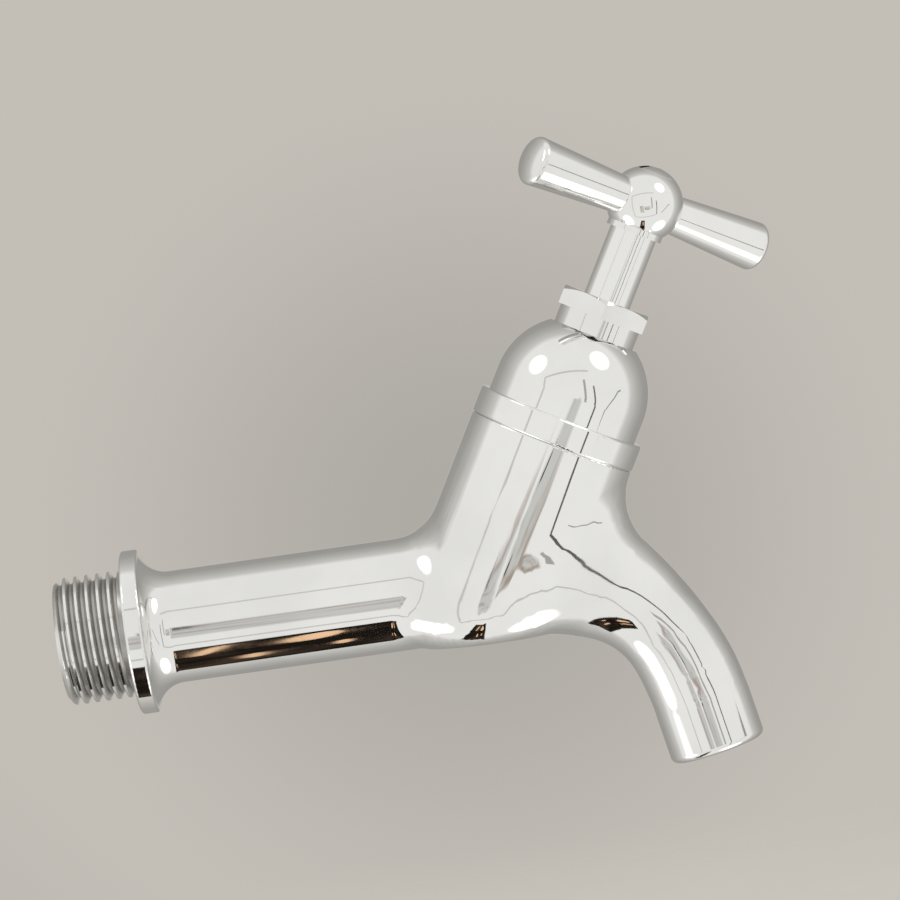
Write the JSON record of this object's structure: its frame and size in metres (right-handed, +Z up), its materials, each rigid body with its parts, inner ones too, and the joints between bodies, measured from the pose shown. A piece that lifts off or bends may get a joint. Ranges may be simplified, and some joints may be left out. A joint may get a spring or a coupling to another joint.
{
  "type": "bib tap",
  "caption": "Long-bodied wall bib tap in chromed brass: threaded inlet with a flange, leaning valve chamber, curved spout and a rising spindle worked by a T handle.",
  "frame": {"origin": "centre of the flange's wall face, on the inlet's axis", "axes": "+X out of the wall along the inlet, +Z up in use, +Y to the right of somebody who faces the wall"},
  "size_m": [0.1239, 0.03, 0.1042],
  "materials": {
    "chrome": "polished chrome plate on cast and turned brass",
    "chromed_stem": "chromed stem with faint turning marks, bare brass at the screw",
    "brass": "turned, unplated",
    "fibre": "pressed fibre, matt",
    "packing": "graphited packing, matt",
    "rubber": "moulded, matt"
  },
  "bodies": {
    "tap": {"tap_body": "chrome", "valve_seat": "brass", "bonnet_gasket": "fibre", "bonnet": "chrome", "stem_packing": "packing", "packing_washer": "brass", "gland_nut": "chrome"},
    "jumper": {"jumper_valve": "brass", "jumper_washer": "rubber", "jumper_nut": "brass"},
    "spindle": {"spindle": "chromed_stem", "handle_hub": "chrome", "handle_arm_front": "chrome", "handle_arm_back": "chrome", "handle_screw": "chrome"}
  },
  "joints": [
    {"name": "valve_lift", "type": "slide", "parent": "tap", "child": "jumper", "axis": [0.4924, 0, 0.8704], "range_m": [0, 0.00625]},
    {"name": "handle_turn", "type": "hinge", "parent": "jumper", "child": "spindle", "pos_m": [0.07251, 0, 0.02141], "axis": [0.4924, 0, 0.8704], "range_deg": [0, 900]}
  ],
  "couplings": [
    {"joint": "valve_lift", "follows": "handle_turn", "m_per_rad": 0.00039789}
  ]
}
